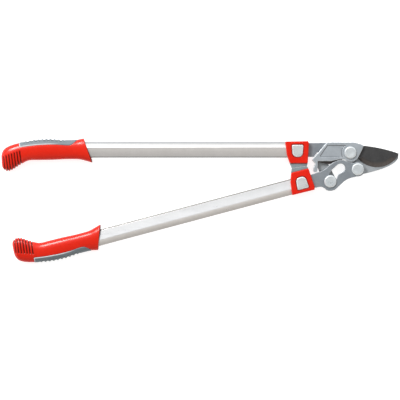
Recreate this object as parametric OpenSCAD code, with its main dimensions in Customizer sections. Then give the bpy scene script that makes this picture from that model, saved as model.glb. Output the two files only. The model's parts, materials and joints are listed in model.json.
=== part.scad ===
// Long-handled bypass lopper with a compound, linked head.
//
// It lies on its back: +Z is the front, +X runs along the upper arm towards the
// blade's tip, and the origin is under the middle of the whole outline.
// The shapes of the head are drawn around the main pivot, and the shapes of an arm
// around the point where the arm's axis leaves its collar.
// The lower arm is the upper one mirrored about the line that halves their angle.

/* [Arms] */
// Angle between the two arms when the jaws are closed
arm_angle = 15; // [11:1:18]
// Height of the upper arm's axis above the main pivot
arm_rise = 5.5; // [3:0.5:8]
// Distance from the main pivot back to the collars
head_length = 78.5; // [76:0.5:86]
// Distance from the collars forward to the crossing of the arms' axes
axes_crossing = 230; // [215:1:260]
// Length of bare tube between a collar and a grip
bare_tube = 373.5; // [250:1:500]
// Width of a tube, seen from the front
tube_w = 30; // [26:0.5:36]
// Thickness of a tube, front to back
tube_t = 19; // [17:0.5:23]
// Wall of a tube
tube_wall = 1.6; // [1.2:0.1:2]
// Distance of a tube's ridge from its middle, towards the outer side
ridge_y = 4.5; // [2:0.5:6]

/* [Grips] */
// Depth that a tube reaches into its grip
tube_in_grip = 100; // [80:1:104]
// Hard plastic under the soft pad
pad_backing = 1.2; // [0.8:0.1:1.6]
// Thickness of collars and grips beyond each face of a tube
side_wall = 3.5; // [3:0.5:5]

/* [Collars] */
// Length of a collar along its arm
collar_length = 45; // [42:1:52]
// Wall of a collar on the outer edge of the tube
collar_edge = 1.4; // [1.2:0.1:3]
// Depth of a collar beyond the inner edge of the tube
collar_foot = 10.8; // [9:0.1:12]
// Depth that a tube reaches into its collar
tube_in_collar = 39; // [37:0.5:40]
// Height that a badge stands above its collar
badge_rise = 0.6; // [0.3:0.1:1]
// Depth of a badge's recess
badge_depth = 1.6; // [1:0.1:1.6]
// Radius of the rivets that hold tube, tang and collar together
rivet_r = 2.5; // [2:0.25:3]
// Gap between the two rubber bumpers when the jaws are closed
bumper_gap = 0.4; // [0.2:0.1:1]

/* [Head plates] */
// Thickness of the front cover and of the lower arm's plate
front_t = 5; // [4:0.5:6]
// Thickness of the cutting blade
blade_t = 4.6; // [4:0.2:5]
// Thickness of the hook plate and of the link
back_t = 5; // [4:0.5:5.5]
// Gap between plates that slide on each other
plate_gap = 0.25; // [0.2:0.05:0.4]
// Width of the upper tang
tang_w = 27; // [25:0.5:29]
// Depth of the cover's sunk panel
panel_depth = 1.2; // [0.8:0.1:2]
// Distance from the main pivot to the tip of the hook
reach = 92; // [84:1:105]

/* [Pivots] */
// Main pivot to the lower arm's pivot, along X
arm_pivot_x = 14; // [13:0.5:15]
// Main pivot to the lower arm's pivot, along Y
arm_pivot_y = -31.5; // [-34:0.5:-31]
// Radius of the round bolt heads
cap_r = 11.5; // [10.5:0.25:12]
// Height of the round bolt heads
cap_h = 3.5; // [2.5:0.5:4]
// Radius of the main bolt
main_r = 6; // [5:0.5:7]
// Radius of the lower arm's bolt and of the link's bolt
bolt_r = 5; // [4:0.5:5.5]
// Radius of the pin at the blade's tail
tail_r = 3.5; // [3:0.25:4]
// Radial clearance of a bore that turns on its pin
running = 0.05; // [0.03:0.01:0.08]
// Extra radius of the link's eye on the tail pin
tail_play = 1.1; // [1.1:0.1:1.5]
// Height of the nuts
nut_h = 3.8; // [3:0.2:4]

/* [Hidden] */

$fn = 64;
red = [0.9, 0.13, 0.05];
pad_grey = [0.47, 0.53, 0.56];
bumper_grey = [0.5, 0.57, 0.58];
plate_grey = [0.6, 0.63, 0.66];
cover_grey = [0.66, 0.69, 0.72];
tube_silver = [0.85, 0.86, 0.87];
cap_silver = [0.85, 0.88, 0.9];
blade_black = [0.2, 0.2, 0.2];
steel = [0.7, 0.71, 0.73];

// Places of the pivots, from the main pivot
main_pivot = [0, 0];
arm_pivot = [arm_pivot_x, arm_pivot_y];
link_pivot = arm_pivot + [-52, -23];
tail_pivot = [-58, -10.5];

// Layers of the head, from the back to the front
mid_z = tube_t / 2 + side_wall;
blade_z = mid_z - blade_t / 2;
layer_z = blade_z - plate_gap;
layer_t = blade_t + 2 * plate_gap;
front_z = layer_z + layer_t;
cap_z = front_z + front_t;
back_z = layer_z - back_t;
nut_z = back_z - nut_h;
washer_t = plate_gap - 0.05;

// Arms: distances along an arm's own X axis, from the front of its collar
tube_front = -(collar_length - tube_in_collar);
grip_mouth = -collar_length - bare_tube;
tube_back = grip_mouth - tube_in_grip;
crossing = [axes_crossing - head_length, arm_rise];
collar_top = tube_w / 2 + collar_edge;
collar_bottom = -tube_w / 2 - collar_foot;

// ---------- Functions for outlines ----------

// The arc that rounds the corner b of a path a-b-c with radius r, limited by its sides
function corner(a, b, c, r) =
    let(u = (a - b) / norm(a - b), v = (c - b) / norm(c - b))
    let(half = acos(max(-1, min(1, u * v))) / 2)
    let(reach_along = min(r / tan(half), 0.49 * min(norm(a - b), norm(c - b))))
    let(centre = b + (u + v) / norm(u + v) * reach_along / cos(half))
    let(p = b + u * reach_along - centre, q = b + v * reach_along - centre)
    let(sweep = 180 - 2 * half, steps = max(2, ceil(sweep / 12)))
    [for (i = [0:steps]) centre + (p * sin(sweep * (1 - i / steps)) + q * sin(sweep * i / steps)) / sin(sweep)];

// An outline whose points are [x, y] or, with a rounded corner, [x, y, radius]
function rounded(list) =
    let(n = len(list), flat = [for (p = list) [p.x, p.y]])
    [for (i = [0:n - 1])
        each (len(list[i]) < 3 ? [flat[i]]
            : corner(flat[(i + n - 1) % n], flat[i], flat[(i + 1) % n], list[i][2]))];

// A cubic curve from a to d that leaves a towards b and reaches d from c
function curve(a, b, c, d, steps = 14) =
    [for (i = [0:steps]) let(t = i / steps, s = 1 - t)
        s * s * s * a + 3 * s * s * t * b + 3 * s * t * t * c + t * t * t * d];

// Points on a circle of radius r about a centre, from one angle to another
function arc(centre, r, from, to) =
    let(steps = max(2, ceil(abs(to - from) / 9)))
    [for (i = [0:steps]) let(a = from + (to - from) * i / steps) [centre.x, centre.y] + r * [cos(a), sin(a)]];

// A smooth row through a list of stations, with a few steps between neighbours
function smooth(list, steps) =
    let(n = len(list))
    [for (i = [0:n - 2], k = [0:i == n - 2 ? steps : steps - 1])
        let(t = k / steps, a = list[max(i - 1, 0)], b = list[i], c = list[i + 1], d = list[min(i + 2, n - 1)])
        b + (c - a) * t / 2 + (2 * a - 5 * b + 4 * c - d) * t * t / 2 + (3 * b - 3 * c + d - a) * t * t * t / 2];

function turned(p, angle) = [p.x * cos(angle) - p.y * sin(angle), p.x * sin(angle) + p.y * cos(angle)];
function power(v, e) = sign(v) * pow(abs(v), e);

// ---------- Placing ----------

// Stations of a grip: distance from its mouth, then how far it stands out beyond the
// outer edge, the inner edge and the faces of the tube, then the lean of the section
grip_stations = [
    [0, 7, 9.7, 3.5, -0.34], [8, 5.6, 6.8, 3.2, -0.3], [21, 3.6, 3.2, 2.4, -0.22],
    [45, 3.3, 2.9, 2.2, -0.15], [70, 5, 4.1, 2.8, -0.12], [95, 3.8, 4.5, 3, -0.12],
    [115.5, 0.6, 5.5, 3, -0.13], [132.5, -2.7, 13.5, 3.2, -0.15], [146.5, -6.8, 22, 3.3, -0.14],
    [155, -10.8, 25.5, 2.6, -0.11], [160, -14.5, 24.3, 0.6, -0.08], [163.2, -19.5, 20.5, -3, -0.06],
    [165, -26, 14.5, -7, -0.05]
];
grip_sides = 20;
grip_rings = [for (s = smooth(grip_stations, 3))
    let(top = tube_w / 2 + s[1], bottom = -tube_w / 2 - s[2], half = tube_t / 2 + min(s[3], side_wall))
    [for (k = [0:grip_sides - 1])
        let(a = 360 * k / grip_sides)
        let(y = (top + bottom) / 2 + (top - bottom) / 2 * power(cos(a), 0.84))
        [-s[0] + s[4] * y, y, half * power(sin(a), 0.84)]]];
grip_outline = [for (ring = grip_rings, p = ring) [p.x + grip_mouth, p.y]];

// Places of an arm's point in the head's frame, for the upper and for the lower arm
function upper_place(p) = crossing + p - [axes_crossing, 0];
function lower_place(p) = crossing + turned([p.x - axes_crossing, -p.y], arm_angle);

// The middle of the whole outline, which is where the origin lies
left = min([for (p = grip_outline) upper_place(p).x]);
top = max([for (p = grip_outline) upper_place(p).y]);
bottom = min([for (p = grip_outline) lower_place(p).y]);
middle = [(left + reach) / 2, (top + bottom) / 2];

module on_head() translate([-middle.x, -middle.y, 0]) children();
module on_upper() on_head() translate([crossing.x - axes_crossing, crossing.y, 0]) children();
module on_lower() on_head() translate([crossing.x, crossing.y, 0]) rotate(arm_angle)
    mirror([0, 1, 0]) translate([-axes_crossing, 0, 0]) children();
module sheet(z, t) translate([0, 0, z]) linear_extrude(t) children();
module rod(p, r, z, h) translate([p.x, p.y, z]) cylinder(r = r, h = h);
module along_arm(x, length) translate([x, 0, mid_z]) rotate([90, 0, 90]) linear_extrude(length) children();

// ---------- Arms ----------

// Section of a tube with its wall moved out by grow: flat-sided, with a ridge on each face
module tube_section(grow = 0) {
    edge = tube_w / 2 + grow;
    face = tube_t / 2 + grow;
    polygon(rounded([
        [edge, 2.5, 2], [ridge_y, face, 3], [-edge + 1.5, face - 3, 2.5], [-edge, face - 6, 2],
        [-edge, -face + 6, 2], [-edge + 1.5, -face + 3, 2.5], [ridge_y, -face, 3], [edge, -2.5, 2]
    ]));
}

module arm_tube() {
    difference() {
        along_arm(tube_back, tube_front - tube_back) tube_section();
        along_arm(tube_back - 1, tube_front - tube_back + 2) tube_section(-tube_wall);
        rivet_rods(rivet_r);
    }
}

module grip_solid() {
    n = len(grip_rings);
    faces = [
        [for (k = [0:grip_sides - 1]) k],
        [for (k = [0:grip_sides - 1]) n * grip_sides - 1 - k],
        for (i = [0:n - 2], k = [0:grip_sides - 1])
            let(m = (k + 1) % grip_sides)
            [i * grip_sides + m, i * grip_sides + k, (i + 1) * grip_sides + k, (i + 1) * grip_sides + m]
    ];
    translate([grip_mouth, 0, mid_z]) polyhedron([for (ring = grip_rings) each ring], faces, convexity = 6);
}

// The space of the soft pad: the outer side of the grip, outside the hard backing
module pad_space() {
    difference() {
        translate([grip_mouth, 0, 0]) linear_extrude(2 * mid_z)
            polygon([[-15, 19.5], [-26, 11.2], [-36, 7.6], [-58, 9.1], [-94, 8], [-129.5, 3.8], [-129.5, 40], [-15, 40]]);
        along_arm(tube_back - pad_backing, grip_mouth - tube_back) tube_section(pad_backing);
    }
}

module grip_shell() {
    difference() {
        grip_solid();
        pad_space();
        along_arm(tube_back, grip_mouth - tube_back + 20) tube_section();
    }
}

module grip_pad() {
    intersection() {
        grip_solid();
        pad_space();
    }
}

// ---------- Collars ----------

rivet_x = [-14, -29];
badge_x = -21.5;

module rivet_rods(r) {
    rivet_reach = side_wall - badge_depth - 0.1;
    for (x = rivet_x)
        rod([x, 0], r, side_wall - rivet_reach, tube_t + 2 * rivet_reach);
}

module badge_outline(grow = 0) {
    polygon(rounded([
        [badge_x - 11.5 - grow, 9.8 + grow, 3], [badge_x + 11.5 + grow, 9.8 + grow, 3],
        [badge_x + 9.8 + grow, -14.2 - grow, 9], [badge_x - 9.8 - grow, -14.2 - grow, 9]
    ]));
}

module collar_outline() {
    polygon(rounded([
        [-collar_length, collar_top - 0.9, 1.5], [-1.2, collar_top, 1.5], [0, 11, 6],
        [-2.2, collar_bottom, 2], [-36, collar_bottom, 2], [-collar_length + 3, -9.3, 8]
    ]));
}

// A collar; its children are the space of the tang that leaves its front
module arm_collar() {
    difference() {
        sheet(0, 2 * mid_z) collar_outline();
        along_arm(-collar_length - 5, 5 + tube_in_collar) tube_section();
        sheet(2 * mid_z - badge_depth, badge_depth + 1) badge_outline();
        rivet_rods(rivet_r);
        children();
    }
}

module arm_badge() {
    sheet(2 * mid_z - badge_depth, badge_depth + badge_rise) badge_outline();
}

// The bumper ends on the line that halves the angle between the arms
module arm_bumper() {
    half = arm_angle / 2;
    line_y = function(x) -(axes_crossing - x) * tan(half) + bumper_gap / 2 / cos(half);
    sheet(mid_z - 10, 20) polygon([
        [-36, collar_bottom], [-32.5, line_y(-32.5)], [-4, line_y(-4)], [-2.2, collar_bottom]
    ]);
}

module arm_rivets() {
    rivet_rods(rivet_r);
}

// A tang where it crosses the front of its collar: so far behind it and so far ahead
module tang_root(width, behind, ahead) {
    translate([-behind, -width / 2]) square([behind + ahead, width]);
}

// The tongue of a tang, which fills the middle of the tube
module tongue(z, t) {
    difference() {
        sheet(z, t) tang_root(tang_w - 9, 36, -5);
        rivet_rods(rivet_r);
    }
}

// ---------- Fixed half of the head ----------

module upper_tang_solid() {
    difference() {
        union() {
            on_upper() {
                tongue(layer_z, layer_t);
                sheet(layer_z, layer_t) tang_root(tang_w, 5.5, 10);
            }
            on_head() sheet(layer_z, layer_t) polygon([
                [-head_length + 9, arm_rise - tang_w / 2], [-head_length + 9, arm_rise + tang_w / 2],
                [-22, arm_rise + tang_w / 2], [-22, 12], [-32, 9.5], [-62, 1.5]
            ]);
        }
        on_head() screw_rods(screw_r, screw_depth);
    }
}

module cover_outline() {
    rim_top = arm_rise + tang_w / 2 + 0.6;
    polygon(rounded(concat(
        [[-44.5, rim_top, 3], [8, rim_top, 20], [26.5, 14.2, 4]],
        arc(main_pivot, cover_boss_r, -27, -132),
        [[-21, -12.7, 12], [-36, -16.2, 8], [-61.6, -16.2, 1], [-62.2, -36.3, 1],
         [-70.2, -37.4, 2.5], [-70.6, -28.6, 5], [-66.9, -20.8, 3], [-73.5, -13.8, 3]]
    )));
}

module panel_outline() {
    polygon(rounded(concat(
        [[-59, -8.2, 1.5], [-43.4, 14.2, 1.5]],
        arc(main_pivot, cover_boss_r - 1, 119.4, 210.2)
    )));
}

// The boss round the main pivot, and the screws' radius and depth in the cover
cover_boss_r = 17.3;
screw_r = 2;
screw_depth = 2.5;
screw_places = [[-52, 10.5], [-33, 14]];

module screw_rods(r, depth) {
    for (p = screw_places)
        rod(p, r, back_z, back_t + layer_t + depth);
}

module cover_solid() {
    difference() {
        sheet(front_z, front_t) cover_outline();
        sheet(cap_z - panel_depth, panel_depth + 1) panel_outline();
        rod(main_pivot, main_r, front_z - 1, front_t + 2);
        screw_rods(screw_r, screw_depth);
    }
}

module hook_outline() {
    tip = [reach, -4.6];
    top_edge = arm_rise + tang_w / 2 - 0.5;
    polygon(rounded(concat(
        curve(arm_pivot + [7, -11], [10, -41], [reach + 1.5, -32], tip),
        curve(tip + [-1.2, 1.2], [reach - 22, -20], [40, -22], [14.2, 3]),
        arc(main_pivot, 14.5, 20, 65),
        [[0, top_edge, 6], [-68, top_edge, 3], [-68, 0.5, 2], [-17, 0.5, 4]],
        arc(arm_pivot, 12.5, 176, 296)
    )));
}

module hook_solid() {
    difference() {
        sheet(back_z, back_t) hook_outline();
        rod(main_pivot, main_r, back_z - 1, back_t + 2);
        rod(arm_pivot, bolt_r, back_z - 1, back_t + 2);
        screw_rods(screw_r, screw_depth);
    }
}

// Screws with flat heads on the back of the hook plate
module screws() {
    screw_rods(screw_r, screw_depth - 0.3);
    for (p = screw_places)
        rod(p, screw_r + 1.8, back_z - 1.6, 1.6);
}

// A bolt with a round bevelled head at the front and its shank down to shank_z
module round_bolt(p, r, shank_z) {
    bevel = 1.2;
    rod(p, r, shank_z, cap_z - shank_z);
    translate([p.x, p.y, cap_z]) rotate_extrude()
        polygon([[0, 0], [cap_r, 0], [cap_r, cap_h - bevel], [cap_r - bevel, cap_h], [0, cap_h]]);
}

module hex_nut(p, r, z) {
    difference() {
        translate([p.x, p.y, z]) cylinder(r = r * 1.9, h = nut_h, $fn = 6);
        rod(p, r, z - 1, nut_h + 2);
    }
}

module ring(p, outer, inner, z, h) {
    difference() {
        rod(p, outer, z, h);
        rod(p, inner, z - 1, h + 2);
    }
}

// ---------- Moving parts of the head ----------

blade_boss_r = 14.5;
tail_boss_r = 7.6;

module blade_outline() {
    top_side = 107;
    neck = 220;
    polygon(concat(
        curve([13, -6], [19.5, -25], [reach - 27.5, -42.5], [reach - 1.2, -6]),
        curve([reach, -1.6], [reach - 25, 8], [30, 15], [4, 14]),
        arc(main_pivot, blade_boss_r, 80, top_side),
        arc(tail_pivot, tail_boss_r, top_side, 270),
        curve(tail_pivot - [0, tail_boss_r], tail_pivot + [12, -10.5], [-28, -28],
            blade_boss_r * [cos(neck), sin(neck)]),
        arc(main_pivot, blade_boss_r, neck, 330)
    ));
}

module blade_solid() {
    difference() {
        sheet(blade_z, blade_t) blade_outline();
        rod(main_pivot, main_r + running, blade_z - 1, blade_t + 2);
        rod(tail_pivot, tail_r, blade_z - 1, blade_t + 2);
    }
}

module link_outline() {
    polygon(concat(arc(tail_pivot, 9.8, 27, 201), arc(link_pivot, 12.3, 201, 387)));
}

module link_solid() {
    difference() {
        sheet(back_z, back_t) link_outline();
        rod(link_pivot, bolt_r + running, back_z - 1, back_t + 2);
        rod(tail_pivot, tail_r + tail_play, back_z - 1, back_t + 2);
    }
}

module arm_plate_outline() {
    difference() {
        polygon(concat(
            [[-73.5, -41.2], [-66, -38.4]],
            curve([-62.7, -37.2], [-41.5, -34], [-47, -21.3], [-20.9, -14]),
            [[-15, -13.8], [-9.5, -15.4], [-2.7, -17.8]],
            arc(arm_pivot, 13.7, 120, -96),
            curve(arm_pivot + [-1.9, -13.7], [-14, -51], [-11, -56], link_pivot + [14.8, -10.2], 10),
            arc(link_pivot, 18, -38, -110),
            curve(link_pivot + [-7, -16.6], [-54, -62.5], [-56, -64.5], [-67, -66.9], 10)
        ));
        polygon(rounded(concat(
            arc(link_pivot, 12.3, 102, 19.5),
            [[-23.2, -41.6, 7]],
            arc([-18.5, -29.2], 8.4, -62, 128),
            [[-35.4, -33, 2]]
        )));
    }
}

module arm_plate_solid() {
    difference() {
        union() {
            on_head() sheet(front_z, front_t) arm_plate_outline();
            on_lower() {
                sheet(layer_z, cap_z - layer_z) tang_root(tang_w - 1, 5, 9);
                tongue(layer_z, layer_t);
            }
        }
        on_head() {
            rod(arm_pivot, bolt_r + running, front_z - 1, front_t + 2);
            rod(link_pivot, bolt_r, front_z - 1, front_t + 2);
        }
        on_lower() rivet_rods(rivet_r);
    }
}

// ---------- Nodes of the upper arm ----------

module upper_tube() { color(tube_silver) on_upper() arm_tube(); }
module upper_grip() { color(red) on_upper() grip_shell(); }
module upper_grip_pad() { color(pad_grey) on_upper() grip_pad(); }
module upper_collar() {
    color(red) on_upper() arm_collar()
        sheet(layer_z, layer_t) tang_root(tang_w, 7, 5);
}
module upper_badge() { color(cap_silver) on_upper() arm_badge(); }
module upper_bumper() { color(bumper_grey) on_upper() arm_bumper(); }
module upper_rivets() { color(steel) on_upper() arm_rivets(); }
module upper_tang() { color(plate_grey) upper_tang_solid(); }
module front_cover() { color(cover_grey) on_head() cover_solid(); }
module hook_blade() { color(cover_grey) on_head() hook_solid(); }
module cover_screws() { color(steel) on_head() screws(); }
module main_bolt() { color(cap_silver) on_head() round_bolt(main_pivot, main_r, nut_z); }
module main_nut() { color(steel) on_head() hex_nut(main_pivot, main_r, nut_z); }
module arm_bolt() {
    color(cap_silver) on_head() translate([0, 0, 0.1]) round_bolt(arm_pivot, bolt_r, nut_z - 0.1);
}
module arm_nut() { color(steel) on_head() hex_nut(arm_pivot, bolt_r, nut_z); }
module arm_spacer() { color(steel) on_head() ring(arm_pivot, bolt_r + 3, bolt_r, layer_z, layer_t - 0.1); }

// ---------- Nodes of the blade and the link ----------

module cutting_blade() { color(blade_black) on_head() blade_solid(); }
module blade_washer() {
    color(steel) on_head() ring(main_pivot, main_r + 5, main_r + running, blade_z + blade_t, washer_t);
}
module tail_pin() {
    color(steel) on_head() {
        rod(tail_pivot, tail_r, back_z - 1.5, blade_z + blade_t - back_z + 1.5);
    }
}
module tail_clip() { color(steel) on_head() ring(tail_pivot, tail_r + 3, tail_r, back_z - 1.3, 1.2); }
module link_plate() { color(plate_grey) on_head() link_solid(); }

// ---------- Nodes of the lower arm ----------

module link_bolt() { color(cap_silver) on_head() round_bolt(link_pivot, bolt_r, nut_z - 0.1); }
module link_nut() { color(steel) on_head() hex_nut(link_pivot, bolt_r, nut_z - 0.1); }
module link_spacer() {
    color(steel) on_head() ring(link_pivot, bolt_r + 3, bolt_r, layer_z + 0.1, layer_t - 0.1);
}
module lower_arm_plate() { color(plate_grey) arm_plate_solid(); }
module lower_tube() { color(tube_silver) on_lower() arm_tube(); }
module lower_grip() { color(red) on_lower() grip_shell(); }
module lower_grip_pad() { color(pad_grey) on_lower() grip_pad(); }
module lower_collar() {
    color(red) on_lower() arm_collar()
        sheet(layer_z, cap_z - layer_z) tang_root(tang_w - 1, 7, 5);
}
module lower_badge() { color(cap_silver) on_lower() arm_badge(); }
module lower_bumper() { color(bumper_grey) on_lower() arm_bumper(); }
module lower_rivets() { color(steel) on_lower() arm_rivets(); }

upper_tube();
upper_grip();
upper_grip_pad();
upper_collar();
upper_badge();
upper_bumper();
upper_rivets();
upper_tang();
front_cover();
hook_blade();
cover_screws();
main_bolt();
main_nut();
arm_bolt();
arm_nut();
arm_spacer();
cutting_blade();
blade_washer();
tail_pin();
tail_clip();
link_plate();
link_bolt();
link_nut();
link_spacer();
lower_arm_plate();
lower_tube();
lower_grip();
lower_grip_pad();
lower_collar();
lower_badge();
lower_bumper();
lower_rivets();
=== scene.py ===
import json
import math
import bpy
import numpy as np
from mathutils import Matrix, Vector
from mathutils.geometry import tessellate_polygon


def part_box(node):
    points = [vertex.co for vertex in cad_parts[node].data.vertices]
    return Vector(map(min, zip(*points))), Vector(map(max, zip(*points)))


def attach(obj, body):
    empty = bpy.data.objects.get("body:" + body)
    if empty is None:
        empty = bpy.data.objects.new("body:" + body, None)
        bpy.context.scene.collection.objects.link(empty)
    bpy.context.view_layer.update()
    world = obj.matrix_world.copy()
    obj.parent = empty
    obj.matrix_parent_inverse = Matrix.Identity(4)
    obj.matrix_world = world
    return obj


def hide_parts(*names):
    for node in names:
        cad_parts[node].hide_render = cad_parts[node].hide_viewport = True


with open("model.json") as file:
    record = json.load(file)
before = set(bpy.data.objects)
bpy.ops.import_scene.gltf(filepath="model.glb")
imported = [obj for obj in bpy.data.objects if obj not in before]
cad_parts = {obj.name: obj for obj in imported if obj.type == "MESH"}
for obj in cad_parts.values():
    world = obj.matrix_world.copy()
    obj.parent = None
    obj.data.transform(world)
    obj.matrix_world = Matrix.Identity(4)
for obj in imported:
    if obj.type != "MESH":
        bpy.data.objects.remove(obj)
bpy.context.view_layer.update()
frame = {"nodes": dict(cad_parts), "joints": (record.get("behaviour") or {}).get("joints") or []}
mm = 0.001


# places, all worked out from the frame

def nodePoints(node):
    mesh = frame["nodes"][node].data
    co = np.empty(len(mesh.vertices) * 3, np.float32)
    mesh.vertices.foreach_get("co", co)
    return co.reshape(-1, 3).astype(float)


def tubeAxis(node):
    # the middle of the tube and the way its length runs, from the spread of its points
    points = nodePoints(node)
    middle = points.mean(0)
    way = np.linalg.svd(points - middle, full_matrices=False)[2][0]
    way = way * np.sign(way[0])
    return middle, way / np.linalg.norm(way)


pivot = {joint["name"]: np.array(joint["pos_m"]) for joint in frame["joints"]}
mainPivot = pivot["blade_pivot"]
armPivot = pivot["arm_pivot"]
linkPivot = pivot["link_pivot"]
upperTube = [np.array(corner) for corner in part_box("upper_tube")]
axisY = (upperTube[0][1] + upperTube[1][1]) / 2
midZ = (upperTube[0][2] + upperTube[1][2]) / 2
lowerMiddle, lowerWay = tubeAxis("lower_tube")
armAngle = math.atan2(lowerWay[1], lowerWay[0])
# where the two arms' axes cross: the lower one meets the upper one's height
crossX = lowerMiddle[0] + (axisY - lowerMiddle[1]) * lowerWay[0] / lowerWay[1]
print("frame read: arms", round(math.degrees(armAngle), 2), "degrees apart")


def heights(node):
    return [corner.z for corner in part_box(node)]


def toLower(points):
    # the mirror image of the upper arm: flipped across its own axis, then turned about the crossing
    out = np.array(points, float)
    x = out[..., 0] - crossX
    y = axisY - out[..., 1]
    out[..., 0] = crossX + x * math.cos(armAngle) - y * math.sin(armAngle)
    out[..., 1] = axisY + x * math.sin(armAngle) + y * math.cos(armAngle)
    return out


# meshes

def gridFaces(rows, columns, start=0, wrap=True):
    # quads of a grid of rows by columns points, joined round the columns when wrap is true
    last = columns if wrap else columns - 1
    i, j = np.meshgrid(np.arange(rows - 1), np.arange(last), indexing="ij")
    k = (j + 1) % columns
    quads = np.stack([i * columns + j, i * columns + k, (i + 1) * columns + k, (i + 1) * columns + j], -1)
    return (quads.reshape(-1, 4) + start).tolist()


def fan(ring, centre):
    # triangles from each side of a ring to one point
    return np.stack([ring, np.roll(ring, -1), np.full(len(ring), centre)], 1).tolist()


def addPiece(name, points, faces, material, body, replaced=(), marks=None, sharp=40):
    # a closed mesh whose faces are turned outwards by the sign of its volume; marks are values per point
    points = np.asarray(points, float)
    mesh = bpy.data.meshes.new(name)
    mesh.from_pydata(points.tolist(), [], faces)
    mesh.validate()
    mesh.calc_loop_triangles()
    corners = np.empty(len(mesh.loop_triangles) * 3, np.int32)
    mesh.loop_triangles.foreach_get("vertices", corners)
    a, b, c = (points[corners.reshape(-1, 3)[:, k]] - points.mean(0) for k in range(3))
    if (a * np.cross(b, c)).sum() < 0:
        mesh.flip_normals()
    for key, values in (marks or {}).items():
        attribute = mesh.attributes.new(key, "FLOAT", "POINT")
        attribute.data.foreach_set("value", np.asarray(values, np.float32))
    mesh.shade_smooth()
    mesh.set_sharp_from_angle(angle=math.radians(sharp))
    mesh.materials.append(material)
    piece = bpy.data.objects.new(name, mesh)
    bpy.context.scene.collection.objects.link(piece)
    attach(piece, body)
    if replaced:
        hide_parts(*replaced)
    return piece


def bothArms(name, points, faces, material, marks=None, sharp=40):
    # the upper arm's piece and its mirror image on the lower arm
    addPiece("upper_" + name + "_skin", points, faces, material, "upper_arm",
             ["upper_" + name], marks, sharp)
    addPiece("lower_" + name + "_skin", toLower(points), faces, material, "lower_arm",
             ["lower_" + name], marks, sharp)


def smoothRow(rows, steps):
    # a smooth curve through the rows: each span is a cubic, and at a row it runs along its neighbours' chord
    rows = np.array(rows, float)
    ends = np.vstack([rows[:1], rows, rows[-1:]])
    t = np.linspace(0, 1, steps, endpoint=False)[None, :, None]
    a, b, c, d = (ends[k:len(ends) - 3 + k, None, :] for k in range(4))
    bend, twist = 2 * a - 5 * b + 4 * c - d, 3 * b - 3 * c + d - a
    spans = b + (c - a) * t / 2 + bend * t ** 2 / 2 + twist * t ** 3 / 2
    return np.vstack([spans.reshape(-1, rows.shape[1]), rows[-1:]])


def smoothStep(low, high, value):
    # 0 below low, 1 above high and the cubic 3t^2 - 2t^3 between them
    t = np.clip((value - low) / (high - low), 0, 1)
    return t * t * (3 - 2 * t)


def surfaceNormals(grid):
    # unit normals of a grid that is closed round its second way: the cross product of its two tangents
    along = np.gradient(grid, axis=0)
    around = (np.roll(grid, -1, 1) - np.roll(grid, 1, 1)) / 2
    normal = np.cross(around, along)
    return normal / np.maximum(np.linalg.norm(normal, axis=-1, keepdims=True), 1e-12)


# outlines of the flat plates, taken from the frame's own nodes

def nodeLoops(node, level):
    # the outlines of a node's flat face at a height, walked with the material on the left: the sides of
    # its triangles that no other triangle shares
    mesh = frame["nodes"][node].data
    mesh.calc_loop_triangles()
    points = nodePoints(node)
    corners = np.empty(len(mesh.loop_triangles) * 3, np.int32)
    mesh.loop_triangles.foreach_get("vertices", corners)
    corners = corners.reshape(-1, 3)
    flat = corners[(np.abs(points[corners][:, :, 2] - level) < 2e-5).all(1)]
    keys = np.round(points[:, :2] * 1e6).astype(np.int64)
    first, copyOf = np.unique(keys, axis=0, return_index=True, return_inverse=True)[1:]
    flat = first[copyOf.ravel()][flat]  # points at one place count as one
    a, b, c = (points[flat[:, k]] for k in range(3))
    if np.cross(b - a, c - a)[:, 2].sum() < 0:
        flat = flat[:, ::-1]
    flat = flat[(flat[:, 0] != flat[:, 1]) & (flat[:, 1] != flat[:, 2]) & (flat[:, 2] != flat[:, 0])]
    edges = {(int(t[k]), int(t[(k + 1) % 3])) for t in flat for k in range(3)}
    following = {e[0]: e[1] for e in edges if (e[1], e[0]) not in edges}
    loops = []
    while following:
        start, at = next(iter(following.items()))
        loop = [start]
        del following[start]
        while at != start and at in following:
            loop.append(at)
            at = following.pop(at)
        loops.append(points[loop][:, :2])
    return [roundLoop(loop) for loop in loops if len(loop) > 2]


def roundLoop(loop, steps=3, gentle=24):
    # finer points where the outline turns gently, on the cubic that keeps to the tangents at both ends of
    # a side; corners sharper than gentle degrees stay as they are
    loop = loop[np.linalg.norm(loop - np.roll(loop, 1, 0), axis=1) > 2e-6]
    before = loop - np.roll(loop, 1, 0)
    after = np.roll(before, -1, 0)
    across = before[:, 0] * after[:, 1] - before[:, 1] * after[:, 0]
    turn = np.abs(np.degrees(np.arctan2(across, (before * after).sum(1))))
    isGentle = turn < gentle
    tangent = before + after  # the longer side leads
    tangent /= np.maximum(np.linalg.norm(tangent, axis=1, keepdims=True), 1e-12)
    length = np.linalg.norm(after, axis=1, keepdims=True)
    startWay = np.where(isGentle[:, None], tangent * length, after)
    endWay = np.where(np.roll(isGentle, -1)[:, None], np.roll(tangent, -1, 0) * length, after)
    curved = (isGentle | np.roll(isGentle, -1)) & (turn + np.roll(turn, -1) >= 0.5)
    t = (np.arange(steps) / steps)[None, :, None]
    h = 2 * t ** 3 - 3 * t ** 2
    sides = loop[:, None] * (1 + h) - np.roll(loop, -1, 0)[:, None] * h
    sides = sides + startWay[:, None] * (t ** 3 - 2 * t ** 2 + t) + endWay[:, None] * (t ** 3 - t ** 2)
    kept = np.repeat(curved[:, None], steps, 1)
    kept[:, 0] = True
    return sides[kept]


def loopArea(loop):
    # half the sum of the cross products of neighbouring points: above 0 outside, below 0 round a hole
    x, y = loop[:, 0], loop[:, 1]
    return 0.5 * (x * np.roll(y, -1) - y * np.roll(x, -1)).sum()


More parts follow.
